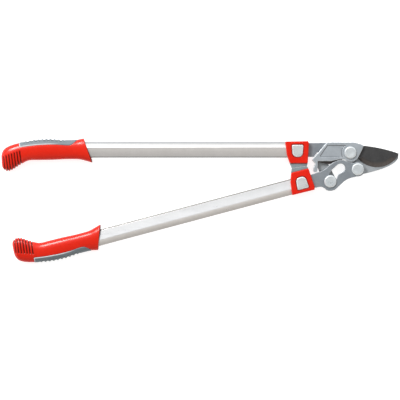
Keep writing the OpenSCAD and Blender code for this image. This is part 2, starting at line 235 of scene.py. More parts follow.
def inward(loop):
    # for each point, the way into the material that moves both its sides by one
    side = np.roll(loop, -1, 0) - loop
    side /= np.maximum(np.linalg.norm(side, axis=1, keepdims=True), 1e-12)
    normal = np.stack([-side[:, 1], side[:, 0]], 1)
    before = np.roll(normal, 1, 0)
    both = normal + before
    return both / np.maximum(1 + (normal * before).sum(1), 0.35)[:, None]


def roomFor(loop, way):
    # radius of the largest round that touches the outline at each point, on the side the way points to
    unit = way / np.linalg.norm(way, axis=1, keepdims=True)
    gap = loop[None] - loop[:, None]
    ahead = (gap * unit[:, None]).sum(-1)
    size = (gap ** 2).sum(-1)
    return np.where(ahead > 1e-9, size / np.maximum(2 * ahead, 1e-12), 1.0).min(1)


def edgeRings(edge, low, high, steps=4):
    # a wall from low to high with rounded edges, as (inset, height, wear): quarter circles, and a ring
    # beyond each of their ends that keeps the shading of the flats flat
    angle = np.linspace(0, math.pi / 2, steps + 1)
    beyond = 0.25 * edge
    rings = [(edge + beyond, low, 0)]
    rings += [(edge * (1 - math.sin(a)), low + edge * (1 - math.cos(a)), math.sin(2 * a)) for a in angle]
    rings += [(0, low + edge + beyond, 0), (0, high - edge - beyond, 0)]
    rings += [(edge * (1 - math.cos(a)), high - edge * (1 - math.sin(a)), math.sin(2 * a)) for a in angle]
    rings += [(edge + beyond, high, 0)]
    return rings


class Solid:
    # collects the rings and caps of one piece
    def __init__(self):
        self.points, self.faces, self.wear, self.count = [], [], [], 0

    def ring(self, loop, height, wear=0.0):
        start = self.count
        self.points.append(np.column_stack([loop, np.broadcast_to(height, len(loop))]))
        self.wear.append(np.broadcast_to(wear, len(loop)))
        self.count += len(loop)
        return np.arange(start, self.count)

    def join(self, a, b):
        k = np.roll(np.arange(len(a)), -1)
        self.faces += np.stack([a, a[k], b[k], b], 1).tolist()

    def wall(self, loop, rings, spread=None):
        # a wall round a loop, through rings of (inset, height, wear, below 0 painted shade); spread
        # scales the inset at each point, and a tight corner takes as much of it as it has room for
        way = inward(loop)
        spread = np.ones(len(loop)) if spread is None else spread
        reach = np.linalg.norm(way, axis=1) * spread
        share = {}
        for side in (1, -1):
            deepest = max([side * inset for inset, _, _ in rings] + [1e-9])
            share[side] = np.minimum(1, 0.9 * roomFor(loop, side * way) / (deepest * reach))
        made = []
        for inset, height, wear in rings:
            step = inset * spread * share[1 if inset >= 0 else -1]
            made.append(self.ring(loop + way * step[:, None], height, wear))
        for a, b in zip(made, made[1:]):
            self.join(a, b)
        return made[0], made[-1]

    def cap(self, rings, up=True):
        # a flat face inside the first ring, with the others as its holes
        points = np.vstack(self.points)
        lines = [[Vector(point) for point in points[ring]] for ring in rings]
        triangles = np.concatenate(rings)[np.array(tessellate_polygon(lines))]
        a, b, c = (points[triangles[:, k]] for k in range(3))
        turn = np.cross(b - a, c - a)[:, 2]
        triangles = np.where(((turn > 0) == up)[:, None], triangles, triangles[:, ::-1])
        self.faces += triangles[np.abs(turn) > 1e-16].tolist()

    def piece(self, name, material, body, slotName, replaced=(), sharp=40):
        points = np.vstack(self.points)
        marks = {"wear": np.concatenate(self.wear)}
        return addPiece(name, points, self.faces, material, body, replaced, marks, sharp)


def plate(solid, node, low, high, edge, sunk=None, steps=4, wider=None, lip=0.7):
    # a flat plate with rounded edges and holes; sunk is the height of the floor of a panel let into its
    # front, and lip the mark along the panel's edge, wear above 0 and painted shade below 0; panelWall is
    # (inset in edges, share of depth, mark), the mark below 0 painting shade at the foot of the panel's wall
    panelWall = [(-1.6, 0, 0), (-0.7, 0, -0.8), (-0.25, 0.08, -1), (0, 0.35, -0.8), (0.1, 0.7, 0),
                 (0.3, 0.92, lip), (0.55, 1, lip * 0.7), (0.8, 1, 0)]
    loops = nodeLoops(node, high)
    floors = [loop for loop in nodeLoops(node, sunk) if loopArea(loop) > 0] if sunk else []
    tops, bottoms = [], []
    for loop in loops:
        middle = (loop.min(0) + loop.max(0)) / 2
        isPanel = any(np.linalg.norm((f.min(0) + f.max(0)) / 2 - middle) < 1e-4
                      and abs(abs(loopArea(f)) - abs(loopArea(loop))) < 1e-6 for f in floors)
        if isPanel and loopArea(loop) < 0:
            rings = [(edge * inset, sunk + (high - sunk) * share, wear) for inset, share, wear in panelWall]
            first, last = solid.wall(loop, rings)
            solid.cap([first])
            tops.append(last)
        else:
            size = min(edge, math.sqrt(abs(loopArea(loop))) * 0.1)
            spread = wider(loop) if wider and loopArea(loop) > 0 else None
            first, last = solid.wall(loop, edgeRings(size, low, high, steps=steps), spread)
            tops.append(last)
            bottoms.append(first)
    solid.cap(tops)
    solid.cap(bottoms, up=False)
    return solid


def makeFlat(node, edge, finish, body, slotName, **options):
    # a plate's piece, from the node's own outline and heights
    made = plate(Solid(), node, *heights(node), edge, **options)
    made.piece(node + "_skin", material[finish], body, slotName, [node])


# shader groups shared by the materials

def newGroup(name, inputs, outputs):
    group = bpy.data.node_groups.new(name, "ShaderNodeTree")
    for label, kind, value in inputs:
        socket = group.interface.new_socket(name=label, in_out="INPUT", socket_type=kind)
        socket.default_value = value
    for label, kind in outputs:
        group.interface.new_socket(name=label, in_out="OUTPUT", socket_type=kind)
    return group, group.nodes.new("NodeGroupInput"), group.nodes.new("NodeGroupOutput")


def mathNode(nodes, links, operation, a, b=None):
    node = nodes.new("ShaderNodeMath")
    node.operation = operation
    for socket, value in zip(node.inputs, (a, b)):
        if value is None:
            continue
        if isinstance(value, (int, float)):
            socket.default_value = value
        else:
            links.new(value, socket)
    return node.outputs[0]


def noiseNode(nodes, links, vector, scale, detail=3.0, roughness=0.5):
    node = nodes.new("ShaderNodeTexNoise")
    node.inputs["Detail"].default_value = detail
    node.inputs["Roughness"].default_value = roughness
    if isinstance(scale, (int, float)):
        node.inputs["Scale"].default_value = scale
    else:
        links.new(scale, node.inputs["Scale"])
    links.new(vector, node.inputs["Vector"])
    return node.outputs["Fac"]


def grainGroup():
    # fine grain in three sizes: a height for the bump and a value that varies the colour
    group, inside, outside = newGroup("surface grain", [
        ("Vector", "NodeSocketVector", (0, 0, 0)), ("Scale", "NodeSocketFloat", 1000.0)],
        [("Height", "NodeSocketFloat"), ("Tone", "NodeSocketFloat")])
    nodes, links = group.nodes, group.links
    fine = noiseNode(nodes, links, inside.outputs["Vector"], inside.outputs["Scale"], 2)
    coarse = noiseNode(nodes, links, inside.outputs["Vector"],
                       mathNode(nodes, links, "MULTIPLY", inside.outputs["Scale"], 0.22), 3)
    broad = noiseNode(nodes, links, inside.outputs["Vector"],
                      mathNode(nodes, links, "MULTIPLY", inside.outputs["Scale"], 0.03), 3)
    height = mathNode(nodes, links, "ADD", mathNode(nodes, links, "MULTIPLY", fine, 0.6),
                      mathNode(nodes, links, "MULTIPLY", coarse, 0.8))
    tone = mathNode(nodes, links, "ADD", mathNode(nodes, links, "MULTIPLY", broad, 0.65),
                    mathNode(nodes, links, "MULTIPLY", coarse, 0.35))
    links.new(height, outside.inputs["Height"])
    links.new(tone, outside.inputs["Tone"])
    return group


def wearGroup():
    # the wear mark along edges, broken up by noise
    group, inside, outside = newGroup("edge wear", [
        ("Edge", "NodeSocketFloat", 0.0), ("Vector", "NodeSocketVector", (0, 0, 0)),
        ("Scale", "NodeSocketFloat", 300.0), ("Amount", "NodeSocketFloat", 0.5)],
        [("Mask", "NodeSocketFloat")])
    nodes, links = group.nodes, group.links
    broken = noiseNode(nodes, links, inside.outputs["Vector"], inside.outputs["Scale"], 4, 0.6)
    sharper = nodes.new("ShaderNodeMapRange")
    sharper.inputs["From Min"].default_value = 0.35
    sharper.inputs["From Max"].default_value = 0.65
    links.new(broken, sharper.inputs["Value"])
    mask = mathNode(nodes, links, "MULTIPLY", inside.outputs["Edge"], sharper.outputs["Result"])
    mask = mathNode(nodes, links, "MULTIPLY", mask, inside.outputs["Amount"])
    links.new(mask, outside.inputs["Mask"])
    return group


def streakGroup():
    # long thin streaks along the stretched way of a vector, as drawn or brushed metal has
    group, inside, outside = newGroup("drawn streaks", [
        ("Vector", "NodeSocketVector", (0, 0, 0)), ("Scale", "NodeSocketFloat", 900.0)],
        [("Value", "NodeSocketFloat")])
    nodes, links = group.nodes, group.links
    thin = noiseNode(nodes, links, inside.outputs["Vector"], inside.outputs["Scale"], 4, 0.6)
    wide = noiseNode(nodes, links, inside.outputs["Vector"],
                     mathNode(nodes, links, "MULTIPLY", inside.outputs["Scale"], 0.12), 2)
    value = mathNode(nodes, links, "ADD", mathNode(nodes, links, "MULTIPLY", thin, 0.6),
                     mathNode(nodes, links, "MULTIPLY", wide, 0.4))
    links.new(value, outside.inputs["Value"])
    return group


grain, edgeWear, streaks = grainGroup(), wearGroup(), streakGroup()


def mixColour(nodes, links, amount, a, b):
    node = nodes.new("ShaderNodeMix")
    node.data_type = "RGBA"
    links.new(amount, node.inputs["Factor"])
    for socket, value in ((node.inputs["A"], a), (node.inputs["B"], b)):
        if isinstance(value, (tuple, list)):
            socket.default_value = (*value, 1)
        else:
            links.new(value, socket)
    return node.outputs["Result"]


def rampValue(nodes, links, value, low, high, fromLow=0.3, fromHigh=0.7):
    node = nodes.new("ShaderNodeMapRange")
    node.inputs["From Min"].default_value = fromLow
    node.inputs["From Max"].default_value = fromHigh
    node.inputs["To Min"].default_value = low
    node.inputs["To Max"].default_value = high
    links.new(value, node.inputs["Value"])
    return node.outputs["Result"]


def makeMaterial(name, look):
    # one finish: grain and tone, and, where the look has them, streaks, colours by a mark, edge wear and
    # painted shade
    paintedShadeDepth = 0.85  # how far full painted shade takes the colour
    material = bpy.data.materials.new(name)
    material.use_nodes = True
    nodes, links = material.node_tree.nodes, material.node_tree.links
    shader = nodes["Principled BSDF"]
    place = nodes.new("ShaderNodeTexCoord").outputs["Object"]
    grainNode = nodes.new("ShaderNodeGroup")
    grainNode.node_tree = grain
    grainNode.inputs["Scale"].default_value = look["grainScale"]
    links.new(place, grainNode.inputs["Vector"])
    tone = rampValue(nodes, links, grainNode.outputs["Tone"], 0, 1)
    colour = mixColour(nodes, links, tone, look["dark"], look["light"])
    height = grainNode.outputs["Height"]
    roughTone = tone
    if "streakTurn" in look:
        mapping = nodes.new("ShaderNodeMapping")
        mapping.inputs["Rotation"].default_value = (0, 0, look["streakTurn"])
        mapping.inputs["Scale"].default_value = look["streakStretch"]
        links.new(place, mapping.inputs["Vector"])
        streakNode = nodes.new("ShaderNodeGroup")
        streakNode.node_tree = streaks
        streakNode.inputs["Scale"].default_value = look["streakScale"]
        links.new(mapping.outputs["Vector"], streakNode.inputs["Vector"])
        roughTone = rampValue(nodes, links, streakNode.outputs["Value"], 0, 1)
        share = mathNode(nodes, links, "MULTIPLY", roughTone, look["streakAmount"])
        colour = mixColour(nodes, links, share, colour, look["streakColour"])
        lines = mathNode(nodes, links, "MULTIPLY", streakNode.outputs["Value"], look["streakBump"])
        height = mathNode(nodes, links, "ADD", height, lines)
    for mark, markColour, amount in look.get("marks", []):
        attribute = nodes.new("ShaderNodeAttribute")
        attribute.attribute_name = mark
        share = mathNode(nodes, links, "MULTIPLY", attribute.outputs["Fac"], amount)
        colour = mixColour(nodes, links, share, colour, markColour)
    rough = rampValue(nodes, links, roughTone, look["rough"][0], look["rough"][1], 0, 1)
    if "worn" in look:
        attribute = nodes.new("ShaderNodeAttribute")
        attribute.attribute_name = "wear"
        wearNode = nodes.new("ShaderNodeGroup")
        wearNode.node_tree = edgeWear
        wearNode.inputs["Scale"].default_value = look.get("wearScale", 260)
        wearNode.inputs["Amount"].default_value = look["wearAmount"]
        links.new(mathNode(nodes, links, "MAXIMUM", attribute.outputs["Fac"], 0.0), wearNode.inputs["Edge"])
        links.new(place, wearNode.inputs["Vector"])
        colour = mixColour(nodes, links, wearNode.outputs["Mask"], colour, look["worn"])
        # painted shade where the mark is below 0
        paintedShade = mathNode(nodes, links, "MULTIPLY", attribute.outputs["Fac"], -paintedShadeDepth)
        paintedShade = mathNode(nodes, links, "MAXIMUM", paintedShade, 0.0)
        colour = mixColour(nodes, links, paintedShade, colour, look.get("paintedShade", (0.03, 0.03, 0.032)))
    links.new(colour, shader.inputs["Base Color"])
    links.new(rough, shader.inputs["Roughness"])
    bump = nodes.new("ShaderNodeBump")
    bump.inputs["Strength"].default_value = look["bump"]
    bump.inputs["Distance"].default_value = look["bumpDepth"] * mm
    links.new(height, bump.inputs["Height"])
    links.new(bump.outputs["Normal"], shader.inputs["Normal"])
    for key, socket in shaderSockets.items():
        if key in look:
            shader.inputs[socket].default_value = look[key]
    return material


shaderSockets = dict(metal="Metallic", specular="Specular IOR Level", coat="Coat Weight",
                     coatRough="Coat Roughness", sheen="Sheen Weight", sheenRough="Sheen Roughness")

# dark and light are the tone's two colours; worn colours the worn edges; the painted shade colour darkens
# corners, gaps, recesses and the tubes' edges
looks = {
    "redPlastic": dict(
        dark=(0.62, 0.012, 0.002), light=(0.71, 0.017, 0.003), grainScale=900, rough=(0.21, 0.27),
        bump=0.12, bumpDepth=0.03, worn=(0.95, 0.12, 0.07), wearAmount=0.35,
        # the groove mark: painted shade in the pommel's grooves and in the mouth
        marks=[("groove", (0.045, 0.003, 0.002), 0.95)], specular=0.32),
    "collarPlastic": dict(
        dark=(0.64, 0.009, 0.001), light=(0.76, 0.015, 0.002), grainScale=1100, rough=(0.28, 0.4),
        bump=0.25, bumpDepth=0.03, worn=(0.95, 0.12, 0.07), wearAmount=0.3, paintedShade=(0.06, 0.004, 0.002),
        specular=0.25),
    "softPad": dict(
        dark=(0.115, 0.143, 0.163), light=(0.162, 0.198, 0.22), grainScale=2200, rough=(0.42, 0.6),
        bump=0.6, bumpDepth=0.06, sheen=0.15, sheenRough=0.4,
        # on the pad: painted shade between its ribs, and a painted highlight along its rim
        marks=[("groove", (0.05, 0.07, 0.08), 0.9), ("rimHighlight", (0.72, 0.75, 0.76), 0.75)]),
    "bumperRubber": dict(
        dark=(0.18, 0.23, 0.245), light=(0.24, 0.30, 0.32), grainScale=1800, rough=(0.5, 0.7),
        bump=0.6, bumpDepth=0.06, worn=(0.42, 0.48, 0.5), wearAmount=0.5, sheen=0.1),
    "tubeUpper": dict(
        dark=(0.78, 0.755, 0.73), light=(0.90, 0.875, 0.85), grainScale=1400, rough=(0.26, 0.38),
        bump=0.2, bumpDepth=0.02, streakTurn=0.0, streakStretch=(0.02, 1, 1), streakScale=1400,
        streakAmount=0.35, streakColour=(0.92, 0.90, 0.88), streakBump=0.8, worn=(0.95, 0.95, 0.95),
        wearAmount=0.3, paintedShade=(0.17, 0.19, 0.205), metal=0.65),
    "platePaint": dict(
        dark=(0.22, 0.245, 0.27), light=(0.29, 0.32, 0.345), grainScale=1500, rough=(0.36, 0.5),
        bump=0.5, bumpDepth=0.05, worn=(0.72, 0.74, 0.76), wearAmount=0.8, metal=0.3),
    "coverPaint": dict(
        dark=(0.34, 0.375, 0.405), light=(0.42, 0.455, 0.485), grainScale=1300, rough=(0.34, 0.48),
        bump=0.55, bumpDepth=0.06, worn=(0.86, 0.88, 0.89), wearAmount=0.9, paintedShade=(0.10, 0.11, 0.12),
        metal=0.25),
    "hookPaint": dict(
        dark=(0.37, 0.40, 0.425), light=(0.47, 0.50, 0.52), grainScale=1500, rough=(0.3, 0.45),
        bump=0.4, bumpDepth=0.04, worn=(0.86, 0.87, 0.88), wearAmount=0.8, metal=0.4),
    "bladeCoat": dict(
        dark=(0.040, 0.040, 0.041), light=(0.066, 0.065, 0.065), grainScale=1600, rough=(0.3, 0.42),
        bump=0.3, bumpDepth=0.03, marks=[("ground", (0.082, 0.068, 0.062), 0.8)],
        worn=(0.35, 0.33, 0.31), wearAmount=0.35, metal=0.2),
    "boltSilver": dict(
        dark=(0.60, 0.645, 0.665), light=(0.80, 0.845, 0.86), grainScale=2600, rough=(0.26, 0.4),
        bump=0.9, bumpDepth=0.06, worn=(0.97, 0.98, 0.98), wearAmount=0.8, wearScale=500,
        paintedShade=(0.08, 0.09, 0.10), metal=0.45),
    "badgePearl": dict(
        dark=(0.50, 0.52, 0.52), light=(0.66, 0.68, 0.68), grainScale=2200, rough=(0.22, 0.36),
        bump=0.6, bumpDepth=0.04, worn=(0.97, 0.97, 0.97), wearAmount=0.7, paintedShade=(0.05, 0.045, 0.045),
        metal=0.2, coat=0.3, coatRough=0.15),
    "zincSteel": dict(
        dark=(0.42, 0.43, 0.44), light=(0.56, 0.57, 0.58), grainScale=1500, rough=(0.3, 0.5),
        bump=0.4, bumpDepth=0.03, worn=(0.75, 0.75, 0.75), wearAmount=0.6, metal=0.9),
}
# a lighter copy of the plate paint for the link: painted light, as the link lies in the cover's shade
looks["linkPaintLit"] = dict(looks["platePaint"], dark=(0.36, 0.385, 0.40), light=(0.46, 0.485, 0.50))
# a lighter copy of the upper tube's finish for the lower tube: painted light where more light falls on it,
# with a warmer painted shade
looks["tubeLower"] = dict(looks["tubeUpper"], dark=(0.84, 0.84, 0.84), light=(0.95, 0.95, 0.95),
                          streakColour=(0.97, 0.97, 0.97), paintedShade=(0.22, 0.21, 0.195), streakTurn=-armAngle)
material = {name: makeMaterial(name, look) for name, look in looks.items()}
for node in frame["nodes"].values():
    node.data.materials.clear()
    node.data.materials.append(material["zincSteel"])
print("materials:", len(material))

# tubes: a rounded flat-sided section carried along the arm

tube = dict(
    width=30 * mm, thick=19 * mm, wall=1.6 * mm,
    # the section's outer edge, the ridge along each face, and the step down to the inner edge
    outerHalf=2.5 * mm, ridge=4.5 * mm, innerIn=1.5 * mm, innerDrop=3 * mm, edgeDrop=6 * mm,
    edgeRound=2.2 * mm, ridgeRound=3.5 * mm, leastRound=0.4 * mm, places=60,
    # painted shade along the edges: how dark it is at each edge, and on the lower tube towards its outer
    # side
    outerShade=0.95, innerShade=0.85, lowerOuterShade=0.62, lowerInnerShade=1.15)


def roundedPath(points, steps=7):
    # a closed path through corners of (x, y, radius), each an arc that both its sides touch
    path = []
    data = np.array(points, float)
    for a, b, c in zip(np.roll(data, 1, 0), data, np.roll(data, -1, 0)):
        u, v = a[:2] - b[:2], c[:2] - b[:2]
        lu, lv = np.linalg.norm(u), np.linalg.norm(v)
        u, v = u / lu, v / lv
        half = math.acos(max(-1, min(1, float(u @ v)))) / 2
        reach = min(b[2] / math.tan(half), 0.49 * min(lu, lv))
        centre = b[:2] + (u + v) / np.linalg.norm(u + v) * reach / math.cos(half)
        p, q = b[:2] + u * reach - centre, b[:2] + v * reach - centre
        sweep = math.pi - 2 * half
        t = np.linspace(0, 1, steps)[:, None]
        path.append(centre + (p * np.sin(sweep * (1 - t)) + q * np.sin(sweep * t)) / math.sin(sweep))
    return np.vstack(path)


def tubeSection(grow=0.0):
    # the tube's outline across and through the arm, moved outwards by grow
    edge, face = tube["width"] / 2 + grow, tube["thick"] / 2 + grow
    edgeRound = max(tube["edgeRound"] + grow, tube["leastRound"])
    side = [(edge, tube["outerHalf"], edgeRound), (tube["ridge"], face, tube["ridgeRound"] + grow),
            (-edge + tube["innerIn"], face - tube["innerDrop"], edgeRound),
            (-edge, face - tube["edgeDrop"], edgeRound)]
    return roundedPath(side + [(x, -z, radius) for x, z, radius in side[::-1]])


def sleeve(section, places):
    # a section carried along the upper arm: a row of its points at each place
    grid = np.empty((len(places), len(section), 3))
    grid[..., 0] = places[:, None]
    grid[..., 1] = axisY + section[:, 0]
    grid[..., 2] = midZ + section[:, 1]
    return grid


def makeTubes():
    # the outer sleeve there and the inner one back, joined at both ends
    x = np.linspace(upperTube[0][0], upperTube[1][0], tube["places"])
    grid = np.concatenate([sleeve(tubeSection(), x), sleeve(tubeSection(-tube["wall"]), x[::-1])])
    side = (grid[..., 1] - axisY) / (tube["width"] / 2)
    innerEdge, outerEdge = smoothStep(0.79, 0.87, -side), smoothStep(0.80, 0.88, side)
    # painted shade: dark lines along both edges of the upper tube; on the lower tube, dark along its inner
    # edge and darker across towards its outer edge
    upperShade = -tube["innerShade"] * innerEdge - tube["outerShade"] * outerEdge
    lowerShade = -tube["lowerInnerShade"] * innerEdge - tube["lowerOuterShade"] * smoothStep(0.1, 0.9, side)
    points = grid.reshape(-1, 3)
    # one row more than the grid has is the first row again
    faces = (np.array(gridFaces(len(grid) + 1, grid.shape[1])) % len(points)).tolist()
    addPiece("upper_tube_skin", points, faces, material["tubeUpper"], "upper_arm", ["upper_tube"],
             {"wear": upperShade.ravel()}, 50)
    addPiece("lower_tube_skin", toLower(points), faces, material["tubeLower"], "lower_arm",
             ["lower_tube"], {"wear": lowerShade.ravel()}, 50)


makeTubes()
print("tubes made")

# grips: sections carried from the pommel to the flared mouth

grip = dict(
    tubeDepth=100 * mm,
    # distance from the mouth, then beyond the tube's outer edge, inner edge and faces in mm, then the lean
    stations=[(0, 7, 9.7, 3.5, -0.34), (4, 6.3, 8.2, 3.35, -0.32), (8, 5.6, 6.8, 3.2, -0.3),
              (21, 3.6, 3.2, 2.4, -0.22), (45, 3.3, 2.9, 2.2, -0.15), (70, 5, 4.1, 2.8, -0.12),
              (95, 3.8, 4.5, 3, -0.12), (115.5, 0.6, 5.5, 3, -0.13), (132.5, -2.7, 13.5, 3.2, -0.15),
              (146.5, -6.8, 22, 3.3, -0.14), (155, -10.8, 25.3, 2.5, -0.11), (160, -14.8, 24, 0.5, -0.08),
              (163.1, -19.8, 20.2, -3, -0.06), (164.4, -23.8, 16.6, -5.4, -0.05),
              (165, -28, 12.6, -8.2, -0.05)],
    squareness=0.84, ringGap=0.45 * mm, around=144,
    grooves=7, grooveFirst=160.4 * mm, grooveLast=128.0 * mm, grooveWide=3.0 * mm, grooveDeep=1.5 * mm,
    grooveRound=0.8, grooveLean=0.125, grooveMiddle=10 * mm, grooveTopFirst=-12.5 * mm,
    grooveTopLast=-2.0 * mm, grooveFade=1.2 * mm,
    # the mouth: shares of the way from the lip in to the tube, each with its distance back
    lipRound=2.2 * mm, mouthGap=0.25 * mm,
    mouthSteps=[(0.35, 0.6 * mm), (0.75, 1.4 * mm), (1.0, 2.2 * mm), (1.0, 30 * mm)])

pad = dict(
    # the lower border, as distance from the mouth and height above the axis in mm
    border=[(15.5, 18.8), (20, 15.2), (26, 11.0), (31, 8.4), (38, 7.6), (58, 9.1), (77, 9.0), (94, 8),
            (112, 6.2), (129.5, 3.8)],
    margin=0.3 * mm, seatFade=1.5 * mm, rise=0.55 * mm, edgeRound=1.4 * mm, rimDrop=1.3, seat=1.6 * mm,
    under=0.5 * mm, across=97, ribs=10, ribFirst=45 * mm, ribGap=7.9 * mm, ribWide=4.4 * mm,
    ribHigh=0.315 * mm, ribDeep=1.15 * mm, ribReach=0.72, highlightFrom=45 * mm, highlightFull=75 * mm)

mouthX = upperTube[0][0] + grip["tubeDepth"]


def signedPower(value, exponent):
    return np.sign(value) * np.abs(value) ** exponent


def gripRings():
    # the sections' sizes at evenly spaced distances from the mouth, read off a smooth curve through them
    rows = smoothRow(grip["stations"], 24)
    length = rows[-1, 0]
    rows[:, 0] = np.maximum.accumulate(rows[:, 0])
    distance = np.linspace(0, length, int(length * mm / grip["ringGap"]))
    sizes = [np.interp(distance, rows[:, 0], rows[:, k]) for k in range(1, 5)]
    return np.column_stack([distance, *sizes]) * [mm, mm, mm, mm, 1]


def gripPoint(ring, angle):
    # a point of a section: a squared oval between its outer and inner edges, leaning along the arm
    top = tube["width"] / 2 + ring[..., 1]
    bottom = -tube["width"] / 2 - ring[..., 2]
    half = tube["thick"] / 2 + ring[..., 3]
    y = (top + bottom) / 2 + (top - bottom) / 2 * signedPower(np.cos(angle), grip["squareness"])
    z = half * signedPower(np.sin(angle), grip["squareness"])
    return np.stack([mouthX - ring[..., 0] + ring[..., 4] * y, axisY + y, midZ + z], -1)


def borderHeight(distance):
    # height of the pad's border above the axis, read off a smooth curve
    rows = smoothRow(pad["border"], 12) * mm
    return np.interp(distance, rows[:, 0], rows[:, 1])


def borderAngle(rings):
    # the angle round a section at which it reaches the pad's border
    top = tube["width"] / 2 + rings[:, 1]
    bottom = -tube["width"] / 2 - rings[:, 2]
    share = (borderHeight(rings[:, 0]) - (top + bottom) / 2) / ((top - bottom) / 2)
    return np.arccos(np.clip(signedPower(share, 1 / grip["squareness"]), -1, 1))


def gripGrooves(distance, height):
    # depth of the pommel's grooves, 0 to 1: evenly spaced and leaning, each the power of a cosine across
    # its width, from the inner edge up to a slanting line
    span, count = grip["grooveFirst"] - grip["grooveLast"], grip["grooves"] - 1
    leaning = grip["grooveFirst"] - distance + grip["grooveLean"] * (height + grip["grooveMiddle"])
    phase = leaning / span * count
    nearest = np.clip(np.round(phase), 0, count)
    away = np.clip(np.abs(phase - nearest) * span / count / (grip["grooveWide"] / 2), 0, 1)
    ceiling = grip["grooveTopFirst"] + (grip["grooveTopLast"] - grip["grooveTopFirst"]) * nearest / count
    fade = 1 - smoothStep(-grip["grooveFade"], grip["grooveFade"], height - ceiling)
    return np.clip(np.cos(away * math.pi / 2), 0, 1) ** grip["grooveRound"] * fade


def padSeat(rings, angle, border):
    # 1 inside the pad's border, falling to 0 at it
    turn = np.abs((angle + math.pi) % (2 * math.pi) - math.pi)
    inside = smoothStep(0.0, 0.10, border[:, None] - turn[None, :])
    first, last, fade = pad["border"][0][0] * mm, pad["border"][-1][0] * mm, pad["seatFade"]
    span = smoothStep(first, first + fade, rings[:, 0]) * (1 - smoothStep(last - fade, last, rings[:, 0]))
    return inside * span[:, None]


def towardsAxis(points):
    # unit vectors across the arm, from points to its axis
    way = np.array([0, axisY, midZ]) - points
    way[..., 0] = 0
    return way / np.maximum(np.linalg.norm(way, axis=-1, keepdims=True), 1e-9)


def mouthRows(lastRow, lean):
    # rows that go from the lip in to the tube and back along it: at each angle round the axis, the distance
    # out goes in even shares from the lip's to the tube's
    section = tubeSection(grip["mouthGap"])
    around = np.arctan2(section[:, 1], section[:, 0])
    order = np.argsort(around)
    across = lastRow[:, 1:] - [axisY, midZ]
    angle = np.arctan2(across[:, 1], across[:, 0])
    far = np.linalg.norm(across, axis=1)
    near = np.interp(angle, around[order], np.linalg.norm(section[order], axis=1), period=2 * math.pi)
    rows = []
    for share, back in grip["mouthSteps"]:
        out = far + (near - far) * share
        y, z = out * np.cos(angle), out * np.sin(angle)
        rows.append(np.column_stack([mouthX - back + lean * y, axisY + y, midZ + z]))
    return np.array(rows)


def makeGrips():
    # the sections' surface, sunk along its normals in the grooves and under the pad
    rings = gripRings()[::-1]  # from the pommel's tip to the mouth
    angle = np.linspace(0, 2 * math.pi, grip["around"], endpoint=False)
    base = gripPoint(rings[:, None, :], angle[None, :])
    normal = surfaceNormals(base)
    normal *= np.sign(normal[len(rings) // 2, 0, 1])  # outwards
    groove = gripGrooves(mouthX - base[..., 0], base[..., 1] - axisY)
    border = borderAngle(rings)
    sunk = grip["grooveDeep"] * groove + pad["seat"] * padSeat(rings, angle, border)
    shell = base - normal * sunk[..., None]
    # the lip rolls in towards the tube on a quarter circle
    lip = grip["lipRound"]
    roll = lip - np.clip(rings[:, 0], 0, lip)
    shell += towardsAxis(shell) * (lip - np.sqrt(np.maximum(lip ** 2 - roll ** 2, 0)))[:, None, None]
    grid = np.concatenate([shell, mouthRows(shell[-1], rings[-1, 4])])
    rows, columns = grid.shape[:2]
    points = np.vstack([grid.reshape(-1, 3), grid[0].mean(0), grid[-1].mean(0)])
    faces = gridFaces(rows, columns)
    faces += fan(np.arange(columns)[::-1], rows * columns)
    faces += fan(np.arange(columns) + (rows - 1) * columns, rows * columns + 1)
    # painted shade in the grooves, in the mouth and on the lip's roll, and wear along the lip
    share = (roll / lip)[:, None]
    shade, worn = np.full((rows, columns), 0.9), np.zeros((rows, columns))
    shade[:len(shell)] = np.maximum(smoothStep(0.25, 0.8, groove), smoothStep(0.25, 0.9, share))
    worn[:len(shell)] = smoothStep(0.0, 0.25, share) * (1 - smoothStep(0.25, 0.5, share))
    marks = {"groove": np.append(shade, [0, 0.9]), "wear": np.append(worn, [0, 0])}
    bothArms("grip", points, faces, material["redPlastic"], marks, 60)
    return rings, border


def padRibs(distance, angle):
    # the ribs and the troughs between them, 0 to 1: flat-topped, across the outer edge, faded at both ends
    phase = (distance - pad["ribFirst"]) / pad["ribGap"]
    nearest = np.clip(np.round(phase), 0, pad["ribs"] - 1)
    away = np.abs(phase - nearest) * pad["ribGap"] / (pad["ribWide"] / 2)
    rib = (1 - smoothStep(0.55, 1.0, away))[:, None]
    ends = smoothStep(-1.0, 0.2, phase) * (1 - smoothStep(pad["ribs"] - 1.2, pad["ribs"], phase))
    band = (1 - smoothStep(pad["ribReach"] - 0.12, pad["ribReach"], np.abs(angle))) * ends[:, None]
    return band * rib, band * (1 - rib)


